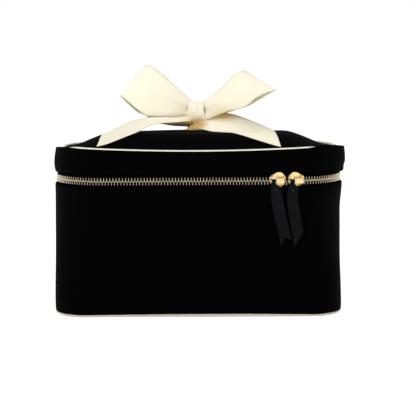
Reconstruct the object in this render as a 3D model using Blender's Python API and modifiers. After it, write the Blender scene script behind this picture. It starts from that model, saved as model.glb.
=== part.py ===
"""A zipped makeup box bag with a padded lid, a cord-piped edge and a ribbon bow on top.

Lengths are in metres, +Z is up, and the front of the bag faces -Y. The origin is on the surface that the bag
stands on, below the middle of the body. Run it with: blender --background --python part.py
"""

import math

import bmesh
import bpy
from mathutils import Matrix, Vector

# Driving dimensions of the box, measured on the body at the zip.
WIDTH = 0.240
DEPTH = 0.150
CORNER = 0.045
ZIP_Z = 0.1125
LID_EDGE_Z = 0.1388
DOME_RISE = 0.0114

GAP = 0.0003
MM = 0.001
ARC_STEPS = 7

# Layers of a wall, as distances in from the body's outer face.
FABRIC = (0.0, 0.0010)
TAPE = (0.0013, 0.0019)
TEETH = (0.0005, 0.0027)
PADDING = (0.0022, 0.0046)
LINING_INSET = 0.0049
LINING_THICK = 0.0006

# Heights of the body's layers.
BASE_PIPING_RADIUS = 0.0017
BASE_PIPING_Z = 0.0019
WALL_Z = (0.0039, 0.1075)
PADDING_Z = (0.0042, 0.1060)
LINING_Z = (0.0046, 0.1065)
TAPE_LAP = 0.0080

# The zip: half of the gap between the two rows of teeth, and the height of one row.
ROW_GAP = 0.0007
ROW_HEIGHT = 0.0025
ZIP_END_X = 0.072

# The lid stands proud of the body at the front and sides, and is flush with it at the back.
OVERHANG = 0.0015
BAND_Z = (0.1186, 0.1369)
LID_PIPING_RADIUS = 0.0015
LID_PIPING_INSET = 0.0022
LID_PIPING_Z = 0.1386
TOP_INSET = 0.0040
TOP_THICK = 0.0010
BOARD_Z = (0.1314, 0.1330)
LID_LINING_Z = (0.1188, 0.1310)
HINGE_HALF = 0.068

# The ribbon bow.
RIBBON_WIDTH = 0.038
RIBBON_THICK = 0.0005
KNOT = Vector((-0.0012, -0.0060, 0.1633))
KNOT_SIZE = Vector((0.0095, 0.0085, 0.0098))

# A zip slider, along its row (u), out of the bag (v) and up (w).
SLIDER_LENGTH = 0.0132
SLIDER_HALF_HEIGHT = 0.0054
FRONT_PLATE = (0.0004, 0.0016)
BACK_PLATE = (-0.0048, -0.0036)
PIN_OUT = 0.00375
PIN_RADIUS = 0.0008
LEFT_SLIDER_X = 0.0644
RIGHT_SLIDER_X = 0.0792
PULL_WIDTH = 0.0090
PULL_LENGTH = 0.0500

BLACK_FABRIC = ((0.010, 0.010, 0.012), 0.85, 0.0)
BLACK_RIBBON = ((0.016, 0.017, 0.020), 0.70, 0.0)
CREAM = ((0.90, 0.86, 0.74), 0.70, 0.0)
LINING_CLOTH = ((0.86, 0.82, 0.74), 0.80, 0.0)
FOAM = ((0.80, 0.80, 0.78), 0.95, 0.0)
BOARD = ((0.72, 0.70, 0.66), 0.60, 0.0)
GOLD = ((0.83, 0.62, 0.30), 0.28, 1.0)
BLACK_METAL = ((0.03, 0.03, 0.03), 0.30, 1.0)


def clear_scene():
    for obj in list(bpy.data.objects):
        bpy.data.objects.remove(obj, do_unlink=True)


def collection(name):
    made = bpy.data.collections.new(name)
    bpy.context.scene.collection.children.link(made)
    return made


def paint(obj, look):
    colour, roughness, metallic = look
    material = bpy.data.materials.new(obj.name)
    material.use_nodes = True
    shader = material.node_tree.nodes["Principled BSDF"]
    shader.inputs["Base Color"].default_value = (*colour, 1.0)
    shader.inputs["Roughness"].default_value = roughness
    shader.inputs["Metallic"].default_value = metallic
    obj.data.materials.append(material)
    return obj


def add(name, data, look):
    obj = bpy.data.objects.new(name, data)
    BAG.objects.link(obj)
    return paint(obj, look)


def arc(centre, radius, start, end, steps):
    """Points on a circle, from the start angle to the end angle in degrees."""
    angles = [math.radians(start + (end - start) * i / steps) for i in range(steps + 1)]
    return [(centre[0] + radius * math.cos(a), centre[1] + radius * math.sin(a)) for a in angles]


def outline(inset, overhang=0.0, end_x=0.0, straight_steps=1):
    """A rounded rectangle round the bag, from the middle of the back by the left side and the front.

    overhang makes the front and sides stand out, and end_x leaves out the back's middle to that half width.
    """
    radius = CORNER + overhang - inset
    half = WIDTH / 2 + overhang - inset
    front = -DEPTH / 2 - overhang + inset
    back = DEPTH / 2 - inset
    left, right = -half + radius, half - radius
    corners = [
        arc((left, back - radius), radius, 90, 180, ARC_STEPS),
        arc((left, front + radius), radius, 180, 270, ARC_STEPS),
        arc((right, front + radius), radius, 270, 360, ARC_STEPS),
        arc((right, back - radius), radius, 0, 90, ARC_STEPS),
    ]
    points = [(-end_x, back)]
    for corner in corners:
        points += between(points[-1], corner[0], straight_steps)
        points += corner
    points += between(points[-1], (end_x, back), straight_steps)
    if end_x:
        points.append((end_x, back))
    return points


def between(start, end, steps):
    """Points inside a straight run, its ends left out."""
    return [
        (start[0] + (end[0] - start[0]) * i / steps, start[1] + (end[1] - start[1]) * i / steps)
        for i in range(1, steps)
    ]


def flat_solid(name, loops, z_range, look):
    """Closed outlines filled and given a height; a loop inside another is a hole."""
    curve = bpy.data.curves.new(name, "CURVE")
    curve.dimensions = "2D"
    curve.fill_mode = "BOTH"
    curve.extrude = (z_range[1] - z_range[0]) / 2
    for loop in loops:
        spline = curve.splines.new("POLY")
        spline.points.add(len(loop) - 1)
        spline.use_cyclic_u = True
        for point, (x, y) in zip(spline.points, loop):
            point.co = (x, y, 0.0, 1.0)
    obj = add(name, curve, look)
    obj.location.z = (z_range[0] + z_range[1]) / 2
    return obj


def ring(name, insets, z_range, look, overhang=0.0):
    """A wall layer that runs all round the bag."""
    return flat_solid(name, [outline(i, overhang) for i in insets], z_range, look)


def open_ring(name, insets, z_range, look, end_x, overhang=0.0):
    """A wall layer that runs round the sides and the front, and stops at end_x on the back."""
    outer, inner = (outline(i, overhang, end_x) for i in insets)
    return flat_solid(name, [outer + inner[::-1]], z_range, look)


def back_strip(name, insets, z_range, look, half_width):
    """A flat layer on the back, between the two ends of an open ring."""
    y_out, y_in = (DEPTH / 2 - i for i in insets)
    loop = [(-half_width, y_in), (half_width, y_in), (half_width, y_out), (-half_width, y_out)]
    return flat_solid(name, [loop], z_range, look)


def tube(name, points, radius, look):
    """A closed cord through these points."""
    curve = bpy.data.curves.new(name, "CURVE")
    curve.dimensions = "3D"
    curve.bevel_depth = radius
    curve.bevel_resolution = 1
    spline = curve.splines.new("POLY")
    spline.points.add(len(points) - 1)
    spline.use_cyclic_u = True
    for point, co in zip(spline.points, points):
        point.co = (*co, 1.0)
    return add(name, curve, look)


def mesh_object(name, shape, look):
    bmesh.ops.recalc_face_normals(shape, faces=shape.faces)
    mesh = bpy.data.meshes.new(name)
    shape.to_mesh(mesh)
    shape.free()
    return add(name, mesh, look)


def solidify(obj, thickness, offset=-1.0):
    shell = obj.modifiers.new("Solidify", "SOLIDIFY")
    shell.thickness = thickness
    shell.offset = offset
    return obj


def as_mesh(obj):
    """Replaces a curve with its evaluated mesh, with its caps welded on."""
    graph = bpy.context.evaluated_depsgraph_get()
    mesh = bpy.data.meshes.new_from_object(obj.evaluated_get(graph))
    shape = bmesh.new()
    shape.from_mesh(mesh)
    bmesh.ops.remove_doubles(shape, verts=shape.verts, dist=1e-6)
    bmesh.ops.recalc_face_normals(shape, faces=shape.faces)
    shape.to_mesh(mesh)
    shape.free()
    solid = bpy.data.objects.new(obj.name, mesh)
    BAG.objects.link(solid)
    solid.matrix_world = obj.matrix_world
    name = obj.name
    bpy.data.objects.remove(obj)
    solid.name = name
    return solid


def unite(name, first, others):
    """One body from several that overlap, with the first one's material."""
    for other in others:
        union = first.modifiers.new("Union", "BOOLEAN")
        union.operation = "UNION"
        union.solver = "EXACT"
        union.object = other
    graph = bpy.context.evaluated_depsgraph_get()
    mesh = bpy.data.meshes.new_from_object(first.evaluated_get(graph))
    joined = bpy.data.objects.new(name, mesh)
    BAG.objects.link(joined)
    joined.matrix_world = first.matrix_world
    for used in [first, *others]:
        bpy.data.objects.remove(used)
    joined.name = name
    return joined


def box(name, low, high, look):
    shape = bmesh.new()
    bmesh.ops.create_cube(shape, size=1.0)
    low, high = Vector(low), Vector(high)
    size = high - low
    middle = Matrix.Translation((low + high) / 2)
    shape.transform(middle @ Matrix.Diagonal((*size, 1.0)))
    return mesh_object(name, shape, look)


def cylinder(name, centre, axis, radius, length, look, sides=12):
    shape = bmesh.new()
    bmesh.ops.create_cone(
        shape, cap_ends=True, segments=sides, radius1=radius, radius2=radius, depth=length
    )
    turn = Vector(axis).to_track_quat("Z", "Y").to_matrix().to_4x4()
    shape.transform(Matrix.Translation(Vector(centre)) @ turn)
    return mesh_object(name, shape, look)


# The dome of the lid.


def dome_height(share):
    """Height of the lid's crown above its edge, where share is 0 at the middle and 1 at the edge."""
    inward = min(1.0, max(0.0, (0.90 - share) / 0.50))
    return DOME_RISE * inward * inward * (3 - 2 * inward)


def dome(name, inset, drop, look, floor_z=None):
    """A crowned sheet inside the lid's outline, drop below the top face; with floor_z it is solid down to it."""
    edge = outline(inset, OVERHANG, straight_steps=4)
    shares = [1.0, 0.86, 0.72, 0.58, 0.42, 0.20]
    shape = bmesh.new()
    rings = [
        [shape.verts.new((x * s, y * s, LID_EDGE_Z + dome_height(s) - drop)) for x, y in edge]
        for s in shares
    ]
    for outer, inner in zip(rings, rings[1:]):
        for i in range(len(edge)):
            j = (i + 1) % len(edge)
            shape.faces.new((outer[i], outer[j], inner[j], inner[i]))
    shape.faces.new(rings[-1])
    if floor_z is not None:
        rim = [shape.verts.new((x, y, floor_z)) for x, y in edge]
        for i in range(len(edge)):
            j = (i + 1) % len(edge)
            shape.faces.new((rim[i], rim[j], rings[0][j], rings[0][i]))
        shape.faces.new(rim[::-1])
    return mesh_object(name, shape, look)


def cup(name, z_open, z_shut, look):
    """A lining: a wall all round, closed at z_shut and open at z_open."""
    edge = outline(LINING_INSET)
    shape = bmesh.new()
    top = [shape.verts.new((x, y, z_open)) for x, y in edge]
    bottom = [shape.verts.new((x, y, z_shut)) for x, y in edge]
    for i in range(len(edge)):
        j = (i + 1) % len(edge)
        shape.faces.new((top[i], bottom[i], bottom[j], top[j]))
    shape.faces.new(bottom)
    shell = mesh_object(name, shape, look)
    outward = 1.0 if shell.data.polygons[0].normal.dot(shell.data.polygons[0].center) > 0 else -1.0
    return solidify(shell, LINING_THICK, -outward)


# Ribbons.


def ribbon(name, rows, thickness, look):
    """A strip of ribbon from rows of points across it, thickened to both sides."""
    shape = bmesh.new()
    grid = [[shape.verts.new(point) for point in row] for row in rows]
    for near, far in zip(grid, grid[1:]):
        for i in range(len(near) - 1):
            shape.faces.new((near[i], near[i + 1], far[i + 1], far[i]))
    return solidify(mesh_object(name, shape, look), thickness, 0.0)


def mix(a, b, share):
    return a + (b - a) * share


def smooth(points, steps):
    """A smooth curve through 3-D points (Catmull-Rom), with steps pieces between each pair."""
    ends = [points[0] * 2 - points[1], *points, points[-1] * 2 - points[-2]]
    made = []
    for a, b, c, d in zip(ends, ends[1:], ends[2:], ends[3:]):
        for i in range(steps):
            t = i / steps
            made.append(
                0.5 * (2 * b + (c - a) * t + (2 * a - 5 * b + 4 * c - d) * t**2 + (3 * b - a - 3 * c + d) * t**3)
            )
    return [*made, points[-1]]


def edges_to_rows(one_edge, other_edge, steps=2, across=2):
    """Rows across a ribbon whose two edges pass through these points, given in millimetres."""
    first = smooth([Vector(p) * MM for p in one_edge], steps)
    second = smooth([Vector(p) * MM for p in other_edge], steps)
    return [[mix(a, b, i / across) for i in range(across + 1)] for a, b in zip(first, second)]


def bow_piece(name, top, bottom):
    """One length of the bow, from the edge points of its top and bottom edges."""
    return ribbon(name, edges_to_rows(top, bottom), RIBBON_THICK, CREAM)


def build_bow():
    # A tab sewn to the lid holds the ribbon where the bow is tied.
    top, bottom = KNOT.z - KNOT_SIZE.z - GAP, LID_EDGE_Z + DOME_RISE + GAP
    stay = box("bow_stay", (-0.0080, -0.0110, bottom), (0.0056, -0.0010, top), CREAM)
    bevel = stay.modifiers.new("Bevel", "BEVEL")
    bevel.width = 0.0006
    bevel.segments = 1

    shape = bmesh.new()
    bmesh.ops.create_uvsphere(shape, u_segments=14, v_segments=9, radius=1.0)
    shape.transform(Matrix.Translation(KNOT) @ Matrix.Diagonal((*KNOT_SIZE, 1.0)))
    mesh_object("bow_knot", shape, CREAM)

    # A loop's edges run from the knot out along the front, round the fold and back behind to the knot.
    left_front = [(-11.6, -9, 179), (-26, -6, 193), (-40, -1, 203.5)]
    left_back = [(-45, 4, 204.6), (-42, 9, 201), (-27, 7, 188), (-11.6, 1, 176)]
    left_front_low = [(-11.6, -13, 163.5), (-40, -17, 163.5), (-56, -17, 176.5)]
    left_back_low = [(-66, -13, 179.6), (-62, -7, 176), (-42, -2, 163), (-11.6, 0, 163.5)]
    bow_piece("bow_loop_left", left_front + left_back, left_front_low + left_back_low)

    right_front = [(9.4, -8, 178), (18, -6, 184), (31, -2, 196)]
    right_back = [(40.5, 3, 199.6), (40, 9, 196), (24, 7, 184), (9.4, 1, 174)]
    right_front_low = [(9.4, -13, 162), (30, -18, 167), (47, -19, 173)]
    right_back_low = [(66, -14, 183.4), (62, -8, 178), (40, -2, 168), (9.4, 0, 163.5)]
    bow_piece("bow_loop_right", right_front + right_back, right_front_low + right_back_low)

    bow_piece(
        "bow_tail_left",
        [(-11.6, -15, 160.6), (-30, -18, 160.2), (-51, -21, 158.5), (-66, -25, 154), (-80.6, -30, 147.5)],
        [(-12.5, -24, 157), (-32, -38, 156.5), (-49.5, -50, 151.5), (-62, -58, 147), (-82.4, -67, 141.5)],
    )
    bow_piece(
        "bow_tail_right",
        [(9.8, -6, 157.8), (22, -4, 160), (34, -3, 160.2), (48, -9, 155.8), (61.5, -20, 151.6)],
        [(9.8, -22, 152.8), (18, -38, 151.2), (30, -50, 147.4), (46, -59, 143.6), (66, -67, 141.5)],
    )


# The zip sliders and their ribbon pulls.


def plate_outline(mouth):
    """Half of a shield, wide at the mouth (mouth is +1 or -1 along u), then its mirror image."""
    h = SLIDER_HALF_HEIGHT
    end = SLIDER_LENGTH / 2
    upper = [(-end, 0.52 * h), (-end * 0.88, 0.68 * h), (0.28 * end, h), (0.72 * end, 0.93 * h), (end, 0.45 * h)]
    return [(mouth * u, w) for u, w in upper] + [(mouth * u, -w) for u, w in reversed(upper)]


def upright(name, loops, v_range, look):
    """A flat outline in (u, w) with a thickness along v, standing in the row's plane."""
    solid = as_mesh(flat_solid(name, loops, v_range, look))
    stand = Matrix(((1, 0, 0, 0), (0, 0, -1, 0), (0, 1, 0, 0), (0, 0, 0, 1)))
    solid.data.transform(stand @ solid.matrix_world)
    solid.matrix_world = Matrix.Identity(4)
    return solid


def slider_body(name, mouth):
    """Two plates joined by the post that parts the two rows of teeth at the slider's mouth."""
    front = upright("front_plate", [plate_outline(mouth)], FRONT_PLATE, GOLD)
    back = upright("back_plate", [plate_outline(mouth)], BACK_PLATE, GOLD)
    post_half = ROW_GAP - 0.00035
    post_u = sorted((mouth * 0.0030, mouth * 0.0060))
    low = (post_u[0], -FRONT_PLATE[0] - 0.0004, -post_half)
    high = (post_u[1], -BACK_PLATE[1] + 0.0004, post_half)
    post = box("post", low, high, GOLD)
    return unite(name, front, [back, post])


def slider_bridge(name):
    """The bridge on the front plate: a wide cap, and a round pin that the ribbon pull hangs on."""
    foot, face = FRONT_PLATE[1] + GAP, 0.0043
    end = 0.0054
    leg = 0.0010
    cap = box("cap", (0.0002, -face, -0.0024), (end, -face + 0.0011, 0.0024), GOLD)
    legs = [
        box("leg_left", (-end, -face, -0.0009), (-end + leg, -foot, 0.0009), GOLD),
        box("leg_right", (end - leg, -face + 0.0002, -0.0009), (end - 0.0001, -foot, 0.0009), GOLD),
    ]
    pin = cylinder("pin", (-0.0023, -PIN_OUT, 0), (1, 0, 0), PIN_RADIUS, 0.0052, GOLD, sides=10)
    return unite(name, cap, [*legs, pin])


def pull_ribbon(name, lean):
    """A ribbon folded over the pin: a loop round it, gathered narrow, and the leaf that hangs below."""
    inner, thick = PIN_RADIUS + 0.00035, 0.0005
    u_mid, gather = -0.0022, 0.0036
    neck = -0.0062
    top = arc((0, 0), inner + thick, 0, 180, 8)
    hole = arc((0, 0), inner, 0, 180, 8)
    loops = [top + [(-0.0006, neck), (0.0006, neck)], hole + [(-0.0003, neck + 0.0016), (0.0003, neck + 0.0016)]]
    loop = as_mesh(flat_solid("loop", loops, (-gather / 2, gather / 2), BLACK_RIBBON))
    # The loop's outline is in (v, w), and its height runs along u.
    stand = Matrix(((0, 0, 1, u_mid), (-1, 0, 0, -PIN_OUT), (0, 1, 0, 0), (0, 0, 0, 1)))
    loop.data.transform(stand @ loop.matrix_world)
    loop.matrix_world = Matrix.Identity(4)

    slope = math.tan(math.radians(lean))
    half = PULL_WIDTH / 2

    def across(w, share):
        return u_mid + slope * (neck - w) + share * half

    low, wide = -PULL_LENGTH, neck - 0.0055
    leaf = [
        (u_mid - gather / 2, neck + 0.0006),
        (across(wide, -1), wide),
        (across(low + 0.0065, -1), low + 0.0065),
        (across(low - 0.0018, -0.2), low - 0.0018),
        (across(low + 0.0030, 1), low + 0.0030),
        (across(wide, 1), wide),
        (u_mid + gather / 2, neck + 0.0006),
    ]
    out = (PIN_OUT - 0.0006, PIN_OUT + 0.0006)
    hanging = upright("leaf", [leaf], out, BLACK_RIBBON)
    return unite(name, loop, [hanging])


def place_on_row(obj, corner_angle, u_shift):
    """Moves a slider part from its own frame to the front face, or round the right front corner."""
    centre = Vector((WIDTH / 2 - CORNER, -DEPTH / 2 + CORNER, 0))
    to_front = Matrix.Translation((u_shift, -DEPTH / 2, ZIP_Z))
    turn = Matrix.Translation(centre) @ Matrix.Rotation(corner_angle, 4, "Z") @ Matrix.Translation(-centre)
    obj.matrix_world = turn @ to_front
    return obj


def build_slider(side, mouth, corner_angle, u_shift, lean):
    """A slider, its bridge, the ribbon through it and the ribbon's rivet, in place on the zip."""
    rivet_at = (-0.0020, -PIN_OUT - 0.0006 - GAP - 0.0003, -0.0088)
    pieces = [
        slider_body(f"slider_{side}", mouth),
        slider_bridge(f"slider_bridge_{side}"),
        pull_ribbon(f"pull_ribbon_{side}", lean),
        cylinder(f"pull_rivet_{side}", rivet_at, (0, -1, 0), 0.0011, 0.0006, BLACK_METAL, sides=12),
    ]
    for piece in pieces:
        place_on_row(piece, corner_angle, u_shift)


def build_sliders():
    build_slider("left", 1, 0.0, LEFT_SLIDER_X, lean=11)
    arc_start = WIDTH / 2 - CORNER
    angle = math.asin((RIGHT_SLIDER_X - arc_start) / CORNER)
    build_slider("right", -1, angle, arc_start, lean=4)


# The body, the zip and the lid.


def build_body():
    piping_inset = BASE_PIPING_RADIUS + 0.0001
    piping = [(x, y, BASE_PIPING_Z) for x, y in outline(piping_inset)]
    tube("base_piping", piping, BASE_PIPING_RADIUS, CREAM)
    inside_piping = piping_inset + BASE_PIPING_RADIUS + GAP
    flat_solid("base_panel", [outline(inside_piping)], (0.0, 0.0012), BLACK_FABRIC)
    flat_solid("base_board", [outline(LINING_INSET + GAP)], (0.0015, 0.0036), BOARD)
    open_ring("front_side_panel", FABRIC, WALL_Z, BLACK_FABRIC, ZIP_END_X)
    back_strip("back_panel", FABRIC, WALL_Z, BLACK_FABRIC, ZIP_END_X - GAP)
    ring("wall_padding", PADDING, PADDING_Z, FOAM)
    cup("body_lining", LINING_Z[1], LINING_Z[0], LINING_CLOTH)


def build_pocket():
    """A slip pocket across the inside of the back wall, with an elastic edge along its mouth."""
    half, wall_y, thick, bulge = 0.070, DEPTH / 2 - LINING_INSET - LINING_THICK - GAP, 0.0006, 0.0020

    def sheet(depth):
        steps = 12
        shares = [i / steps * 2 - 1 for i in range(steps + 1)]
        return [(half * s, wall_y - depth - bulge * math.cos(s * math.pi / 2)) for s in shares]

    flat_solid("back_pocket", [sheet(0) + sheet(thick)[::-1]], (0.0058, 0.0640), LINING_CLOTH)
    edge = sheet(-0.0002) + sheet(thick + 0.0004)[::-1]
    flat_solid("pocket_elastic", [edge], (0.0643, 0.0715), CREAM)


def build_zip():
    for side, sign in (("lower", -1), ("upper", 1)):
        near, far = ROW_GAP, ROW_GAP + ROW_HEIGHT
        rows = sorted((ZIP_Z + sign * near, ZIP_Z + sign * far))
        lap = sorted((ZIP_Z + sign * (far + GAP), ZIP_Z + sign * (far + GAP + TAPE_LAP)))
        open_ring(f"zip_teeth_{side}", TEETH, rows, GOLD, ZIP_END_X - 0.0005)
        open_ring(f"zip_tape_{side}", TAPE, lap, BLACK_FABRIC, ZIP_END_X - 0.0005)
        for end, x_sign in (("left", -1), ("right", 1)):
            x = sorted((x_sign * (ZIP_END_X - 0.0032), x_sign * (ZIP_END_X - 0.0008)))
            y = (DEPTH / 2 - TEETH[1], DEPTH / 2 - TEETH[0])
            low, high = (x[0], y[0], rows[0]), (x[1], y[1], rows[1])
            box(f"zip_stop_{side}_{end}", low, high, GOLD)


def build_hinge():
    """The flexible back strip between the body and the lid, outside and inside."""
    between_edges = (WALL_Z[1] + GAP, BAND_Z[0] - GAP)
    back_strip("hinge_panel", FABRIC, between_edges, BLACK_FABRIC, HINGE_HALF)
    inner = (LINING_INSET, LINING_INSET + LINING_THICK)
    inside_edges = (LINING_Z[1] + GAP, LID_LINING_Z[0] - GAP)
    back_strip("hinge_lining", inner, inside_edges, LINING_CLOTH, HINGE_HALF)


def build_lid():
    open_ring("lid_band", FABRIC, BAND_Z, BLACK_FABRIC, ZIP_END_X, OVERHANG)
    back_strip("lid_back_band", FABRIC, BAND_Z, BLACK_FABRIC, ZIP_END_X - GAP)
    piping = [(x, y, LID_PIPING_Z) for x, y in outline(LID_PIPING_INSET, OVERHANG)]
    tube("lid_piping", piping, LID_PIPING_RADIUS, CREAM)
    ring("lid_side_padding", PADDING, (LID_LINING_Z[0], BOARD_Z[0] - GAP), FOAM)
    flat_solid("lid_board", [outline(PADDING[0])], BOARD_Z, BOARD)
    dome("lid_padding", TOP_INSET + GAP, TOP_THICK + GAP, FOAM, floor_z=BOARD_Z[1] + GAP)
    solidify(dome("lid_top_panel", TOP_INSET, 0.0, BLACK_FABRIC), TOP_THICK)
    cup("lid_lining", LID_LINING_Z[0], LID_LINING_Z[1], LINING_CLOTH)


clear_scene()
BAG = collection("makeup_bag")
build_body()
build_pocket()
build_zip()
build_hinge()
build_lid()
build_bow()
build_sliders()
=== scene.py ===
"""The looks of a zipped makeup bag with a ribbon bow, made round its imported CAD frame.

Lengths are in metres, except where a name or a comment says millimetres. A place on a wall is (s, out, z):
s is the distance round the body's outer face, from the middle of the back by the left side and the front,
and out is the distance outwards from that face.
"""

import math

import bmesh
import bpy
from mathutils import Matrix, Vector, noise


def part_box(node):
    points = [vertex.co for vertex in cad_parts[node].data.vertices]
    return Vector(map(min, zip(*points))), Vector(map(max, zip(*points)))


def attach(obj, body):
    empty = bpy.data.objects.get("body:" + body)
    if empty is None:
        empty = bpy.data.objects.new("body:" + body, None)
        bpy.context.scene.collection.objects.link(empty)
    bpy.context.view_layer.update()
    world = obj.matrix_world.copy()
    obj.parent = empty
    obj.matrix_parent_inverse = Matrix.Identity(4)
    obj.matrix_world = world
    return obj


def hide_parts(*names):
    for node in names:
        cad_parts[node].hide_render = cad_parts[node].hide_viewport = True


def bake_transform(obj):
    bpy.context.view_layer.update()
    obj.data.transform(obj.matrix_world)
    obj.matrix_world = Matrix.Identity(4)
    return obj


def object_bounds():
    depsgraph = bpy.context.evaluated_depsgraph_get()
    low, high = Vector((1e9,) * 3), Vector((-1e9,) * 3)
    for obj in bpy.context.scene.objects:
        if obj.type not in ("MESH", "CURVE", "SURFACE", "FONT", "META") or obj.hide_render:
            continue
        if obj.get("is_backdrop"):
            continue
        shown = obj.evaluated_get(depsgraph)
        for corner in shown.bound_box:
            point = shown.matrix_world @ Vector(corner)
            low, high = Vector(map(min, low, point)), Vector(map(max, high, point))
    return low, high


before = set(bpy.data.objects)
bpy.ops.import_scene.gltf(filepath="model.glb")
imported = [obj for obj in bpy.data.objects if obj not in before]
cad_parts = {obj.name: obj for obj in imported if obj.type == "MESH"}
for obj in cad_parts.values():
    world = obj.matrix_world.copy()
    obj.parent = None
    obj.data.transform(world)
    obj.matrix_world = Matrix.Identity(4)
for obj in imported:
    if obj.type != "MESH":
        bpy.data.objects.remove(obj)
cad_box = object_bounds()

MM = 0.001

# The plan of the body, from the frame.
HALF_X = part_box("front_side_panel")[1].x
HALF_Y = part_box("front_side_panel")[1].y
CORNER = 0.045
FOOT_CORNER = 0.027
FLAT_X = HALF_X - CORNER
FLAT_Y = HALF_Y - CORNER
ARC = CORNER * math.pi / 2
LEFT_START = FLAT_X + ARC
LEFT_END = LEFT_START + 2 * FLAT_Y
FRONT_START = LEFT_END + ARC
FRONT_MIDDLE = FRONT_START + FLAT_X
ROUND = 2 * FRONT_MIDDLE
RIGHT_CORNER = ROUND - LEFT_END - ARC / 2

# Distances from the middle of the back: the side seams, the tapes' ends, the first teeth, and the place
# where the two sliders face each other.
BACK_SEAM = 0.0719
TAPE_START = 0.0708
TEETH_START = 0.0727
GAP_S = FRONT_MIDDLE + 0.0718

# How far apart a mesh's points are round the bag, where it shows and where it hardly does.
STEP = 0.0022
COARSE = 0.006

# Heights and layers.
ZIP_Z = (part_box("zip_teeth_lower")[1].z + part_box("zip_teeth_upper")[0].z) / 2
FOOT_Z = 0.0019
WALL_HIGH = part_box("front_side_panel")[1].z
BAND_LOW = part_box("lid_band")[0].z
LID_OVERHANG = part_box("lid_band")[1].x - HALF_X
LID_HALF_X = HALF_X + LID_OVERHANG
LID_FRONT = -HALF_Y - LID_OVERHANG
EDGE_Z = 0.1401
FRONT_SAG = 0.0033
BACK_SAG = 0.0010
BACK_DROP = 0.0068
CROWN_Z = 0.1500
CROWN_LEAN = 0.0050
BOARD_INSET = 0.0120
BOARD_LOW = 0.1315
BOARD_HIGH = 0.1324
PIPING_INSET = 0.0026
PIPING_RADIUS = 0.00125
BASE_PIPING_RADIUS = 0.0017
TOP_INSET = 0.0031
CLOTH = 0.0012
TAPE_DEPTH = 0.0016
TOOTH_PITCH = 0.00253
SLIDER_LIFT = 0.0012
RIBBON_THICK = 0.00045
PULL_THICK = 0.00032
STITCH = 0.0021
STITCH_PITCH = 0.0030
RUFFLE = 0.00115  # a ruffle of the pocket's elastic takes 2 pi times this

COLLECTION = bpy.data.collections.new("makeup_bag_looks")
bpy.context.scene.collection.children.link(COLLECTION)


# Small sums.


def smooth(value, low, high):
    """0 below low, 1 above high and an S-curve between; low may be the larger one."""
    t = min(1.0, max(0.0, (value - low) / (high - low)))
    return t * t * (3 - 2 * t)


def bump(value, centre, width):
    return math.exp(-(((value - centre) / width) ** 2))


def ripple(point, size, seed):
    """A soft random value from -1 to 1, the same each run, with features of about this size."""
    return noise.noise(Vector(point) / size + Vector((seed * 7.3, seed * 3.1, seed * 5.7)))


def mix(a, b, share):
    return a + (b - a) * share


def steps(low, high, step):
    count = max(1, round((high - low) / step))
    return [low + (high - low) * i / count for i in range(count + 1)]


def catmull(points, pieces):
    """A smooth curve through these points, with this many pieces between each two."""
    ends = [points[0] * 2 - points[1], *points, points[-1] * 2 - points[-2]]
    made = []
    for a, b, c, d in zip(ends, ends[1:], ends[2:], ends[3:]):
        for i in range(pieces):
            t = i / pieces
            cubic = (b * 3 - c * 3 + d - a) * t**3
            made.append((b * 2 + (c - a) * t + (a * 2 - b * 5 + c * 4 - d) * t**2 + cubic) * 0.5)
    return [*made, points[-1]]


# The bag's plan and its lid.


def plan(s):
    """The point on the body's outer face at s, and the direction out of the bag."""
    s %= ROUND
    right = s > FRONT_MIDDLE
    if right:
        s = ROUND - s
    if s < FLAT_X:
        point, normal = Vector((-s, HALF_Y, 0)), Vector((0, 1, 0))
    elif s < LEFT_START:
        turn = (s - FLAT_X) / CORNER
        normal = Vector((-math.sin(turn), math.cos(turn), 0))
        point = Vector((-FLAT_X, FLAT_Y, 0)) + normal * CORNER
    elif s < LEFT_END:
        point, normal = Vector((-HALF_X, FLAT_Y - (s - LEFT_START), 0)), Vector((-1, 0, 0))
    elif s < FRONT_START:
        turn = (s - LEFT_END) / CORNER
        normal = Vector((-math.cos(turn), -math.sin(turn), 0))
        point = Vector((-FLAT_X, -FLAT_Y, 0)) + normal * CORNER
    else:
        point, normal = Vector((s - FRONT_MIDDLE, -HALF_Y, 0)), Vector((0, -1, 0))
    if right:
        point.x, normal.x = -point.x, -normal.x
    return point, normal


def on_wall(s, out, z):
    point, normal = plan(s)
    return point + normal * out + Vector((0, 0, z))


def around(step):
    """Distances all the way round the bag, this far apart."""
    return steps(0, ROUND, step)[:-1]


def inward(rim, share, z):
    """A point at height z, at this share of the way from the middle out to the rim."""
    return Vector((rim.x * share, rim.y * share, z))


def from_back(s):
    """The distance from the middle of the back, the same on both sides."""
    s %= ROUND
    return min(s, ROUND - s)


def overhang(s):
    """How far the lid stands out over the body: none at the back, all at the sides and the front."""
    return LID_OVERHANG * smooth(from_back(s), FLAT_X * 0.98, LEFT_START)


def corner_drop(s):
    """How far the lid's soft front corners hang down."""
    return 0.0015 * bump(from_back(s), LEFT_END + 0.008, 0.034)


def lid_edge(s):
    """Height of the lid's top seam, which sags between the corners."""
    t = from_back(s)
    front = max(0.0, 1 - ((FRONT_MIDDLE - t) / 0.104) ** 2)
    back = max(0.0, 1 - (t / 0.100) ** 2)
    return EDGE_Z - FRONT_SAG * front - BACK_SAG * back - leaning(plan(s)[0].y) - corner_drop(s)


def leaning(y):
    """How far the lid's edge lies below its front at this Y."""
    return BACK_DROP * smooth(y, -0.075, 0.015)


def rolled(s):
    """1 where the band's cloth rolls up over the piping: at the left side and the right front corner."""
    s %= ROUND
    left = smooth(s, LEFT_END - 0.034, LEFT_END - 0.014) * smooth(s, LEFT_END + 0.052, LEFT_END + 0.014)
    right = smooth(s, RIGHT_CORNER - 0.022, RIGHT_CORNER - 0.006)
    return left + right * smooth(s, RIGHT_CORNER + 0.052, RIGHT_CORNER + 0.030)


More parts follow.
